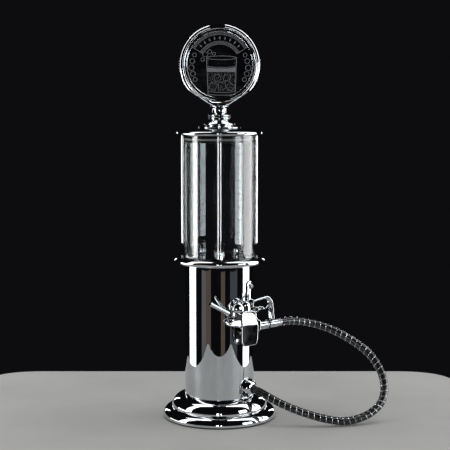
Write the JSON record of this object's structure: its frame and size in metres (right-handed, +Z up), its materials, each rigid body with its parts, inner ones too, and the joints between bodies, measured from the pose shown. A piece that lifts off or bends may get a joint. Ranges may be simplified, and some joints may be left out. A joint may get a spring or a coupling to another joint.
{
  "type": "gas pump drink dispenser",
  "caption": "Chrome bar drink dispenser shaped like an old visible fuel pump, with a clear canister on a mirror column, a round sign lid and a trigger nozzle on a wire-wound hose.",
  "frame": {"origin": "centre of the underside of the round base pad", "axes": "+Z up the column, +X to the side where the hose loops out, front towards -Y"},
  "size_m": [0.2747, 0.139, 0.4772],
  "materials": {
    "chrome_plate": "polished mirror chrome",
    "mirror_plate": "polished dark mirror with a raised relief",
    "steel": "bright zinc steel",
    "cast_weight": "painted black casting",
    "brass": "machined brass",
    "clear_acrylic": "clear polished acrylic",
    "black_felt": "black felt",
    "black_rubber": "matt black rubber",
    "silicone": "translucent silicone",
    "black_plastic": "black moulded plastic",
    "hose_black": "glossy black rubber wound with a bright steel wire"
  },
  "bodies": {
    "pump": {"base_pad": "black_felt", "base_weight": "cast_weight", "base_shell": "chrome_plate", "base_screw_1": "steel", "base_screw_2": "steel", "base_screw_3": "steel", "column_foot": "cast_weight", "column_tube": "chrome_plate", "collar_flange": "chrome_plate", "canister_gasket": "black_rubber", "canister_tube": "clear_acrylic", "canister_floor": "clear_acrylic", "floor_screw_1": "steel", "floor_screw_2": "steel", "floor_screw_3": "steel", "drain_fitting": "brass", "drain_nut": "brass", "drain_strainer": "steel", "feed_tube": "silicone", "feed_clamp_top": "steel", "feed_clamp_bottom": "steel", "outlet_elbow": "black_plastic", "outlet_rosette": "chrome_plate", "outlet_nut": "brass", "hose": "hose_black", "holster_bracket": "chrome_plate", "holster_screw_1": "steel", "holster_screw_2": "steel"},
    "lid": {"lid_shell": "chrome_plate", "lid_plug": "black_plastic", "lid_seal": "silicone", "lid_disc": "chrome_plate", "sign_stem": "chrome_plate", "sign_bolt": "steel", "sign_body": "chrome_plate", "sign_face_front": "mirror_plate", "sign_face_back": "mirror_plate"},
    "nozzle": {"nozzle_body": "chrome_plate", "nozzle_guard": "chrome_plate", "nozzle_spout": "chrome_plate", "spout_nut": "chrome_plate", "spout_ring": "black_rubber", "nozzle_grip": "chrome_plate", "grip_ring": "black_rubber", "hose_coupling": "chrome_plate", "hose_ferrule": "chrome_plate", "trigger_pin": "steel"},
    "trigger": {"trigger_lever": "chrome_plate"},
    "valve": {"valve_stem": "steel"}
  },
  "joints": [
    {"name": "lid_lift", "type": "slide", "parent": "pump", "child": "lid", "axis": [0, 0, 1], "range_m": [0, 0.06]},
    {"name": "nozzle_lift", "type": "slide", "parent": "pump", "child": "nozzle", "axis": [0, 0, 1], "range_m": [0, 0.035], "deforming": ["hose"]},
    {"name": "trigger_pull", "type": "hinge", "parent": "nozzle", "child": "trigger", "pos_m": [0.03726, -0.03853, 0.1343], "axis": [-0.5, 0.866, 0], "range_deg": [0, 20], "stiffness_Nm_per_rad": 0.05, "springref_deg": -17.19},
    {"name": "valve_push", "type": "slide", "parent": "nozzle", "child": "valve", "axis": [0, 0, 1], "range_m": [-0.0026, 0]}
  ],
  "couplings": [
    {"joint": "valve_push", "follows": "trigger_pull", "m_per_rad": -0.0068}
  ]
}
